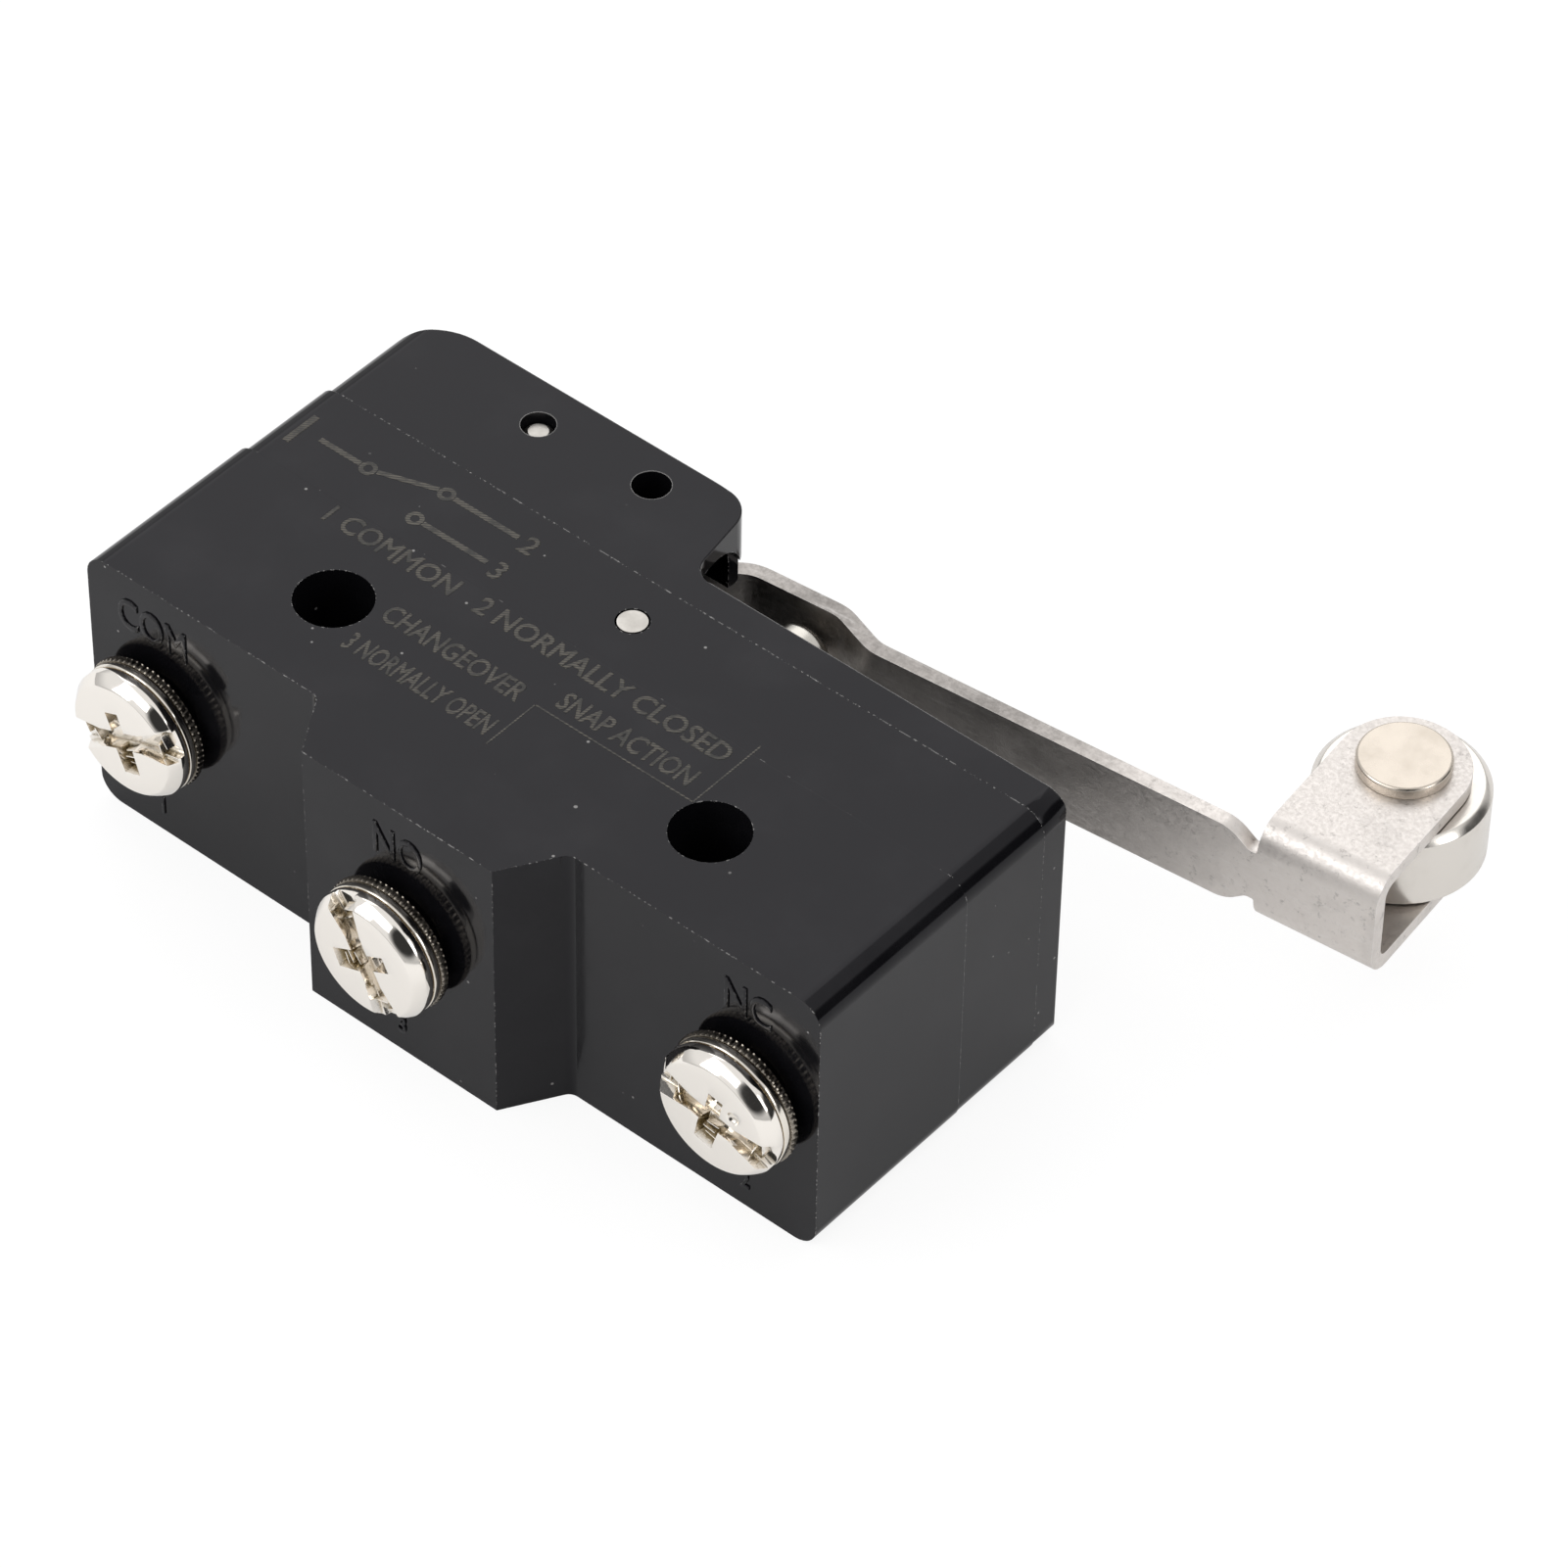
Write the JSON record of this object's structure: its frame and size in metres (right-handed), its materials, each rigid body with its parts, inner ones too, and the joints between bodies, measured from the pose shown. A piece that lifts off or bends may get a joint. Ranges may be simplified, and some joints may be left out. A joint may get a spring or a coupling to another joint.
{
  "type": "lever micro switch",
  "caption": "Snap-action switch in a black moulded case with screw terminals, a sliding metal plunger and a long hinged steel lever that carries a roller in a folded clevis.",
  "frame": {"origin": "on the axis of the left mounting hole, at the large flat side the switch lies on", "axes": "+X along the body from the hinge to the roller, +Y from the terminals to the plunger, lever and roller, +Z through the case's thickness along the mounting holes"},
  "size_m": [0.0623, 0.0476, 0.0174],
  "materials": {
    "case": "glossy black moulded phenolic resin",
    "pin_steel": "plain cut steel pin",
    "lever_steel": "stainless sheet, fine rolled grain",
    "roller_steel": "turned stainless steel",
    "rivet_steel": "turned and spun-over stainless rivet",
    "plunger_steel": "turned stainless steel",
    "pusher_plastic": "red moulded thermoplastic",
    "spring_wire": "drawn stainless spring wire",
    "blade_copper": "beryllium copper spring strip",
    "contact_silver": "silver contact rivet",
    "terminal_brass": "bent brass strip",
    "screw_steel": "nickel-plated steel, bright",
    "washer_steel": "nickel-plated spring steel"
  },
  "bodies": {
    "case": {"base": "case", "cover": "case", "cover_pin_lower": "pin_steel", "cover_pin_upper": "pin_steel", "lever_pin": "pin_steel", "common_terminal": "terminal_brass", "normally_open_terminal": "terminal_brass", "normally_closed_terminal": "terminal_brass", "normally_open_contact": "contact_silver", "normally_closed_contact": "contact_silver", "common_screw": "screw_steel", "normally_open_screw": "screw_steel", "normally_closed_screw": "screw_steel", "common_spring_washer": "washer_steel", "normally_open_spring_washer": "washer_steel", "normally_closed_spring_washer": "washer_steel", "common_tooth_washer": "washer_steel", "normally_open_tooth_washer": "washer_steel", "normally_closed_tooth_washer": "washer_steel"},
    "lever": {"lever": "lever_steel", "roller_axle": "rivet_steel"},
    "roller": {"roller": "roller_steel"},
    "plunger": {"plunger": "plunger_steel", "overtravel_spring": "spring_wire"},
    "pusher": {"pusher": "pusher_plastic"},
    "blade": {"snap_blade": "blade_copper", "moving_contact": "contact_silver"}
  },
  "joints": [
    {"name": "lever_hinge", "type": "hinge", "parent": "case", "child": "lever", "pos_m": [-0.0009, 0.01675, 0.00873], "axis": [0, 0, -1], "range_deg": [0, 10.5], "stiffness_Nm_per_rad": 0.25, "springref_deg": -2.86},
    {"name": "roller_spin", "type": "hinge", "parent": "lever", "child": "roller", "pos_m": [0.04564, 0.03093, 0.00873], "axis": [0, 0, 1], "continuous": true},
    {"name": "plunger_travel", "type": "slide", "parent": "case", "child": "plunger", "axis": [0, -1, 0], "range_m": [0, 0.00295], "deforming": ["overtravel_spring"]},
    {"name": "pusher_travel", "type": "slide", "parent": "case", "child": "pusher", "axis": [0, -1, 0], "range_m": [0, 0.00065]},
    {"name": "blade_swing", "type": "hinge", "parent": "case", "child": "blade", "pos_m": [-0.00537, 0.007, 0.00873], "axis": [0, 0, -1], "range_deg": [0, 1.8]}
  ],
  "couplings": [
    {"joint": "plunger_travel", "follows": "lever_hinge", "m_per_rad": 0.0159},
    {"joint": "pusher_travel", "follows": "lever_hinge", "m_per_rad": 0.0034},
    {"joint": "blade_swing", "follows": "lever_hinge", "ratio": 0.1667}
  ]
}
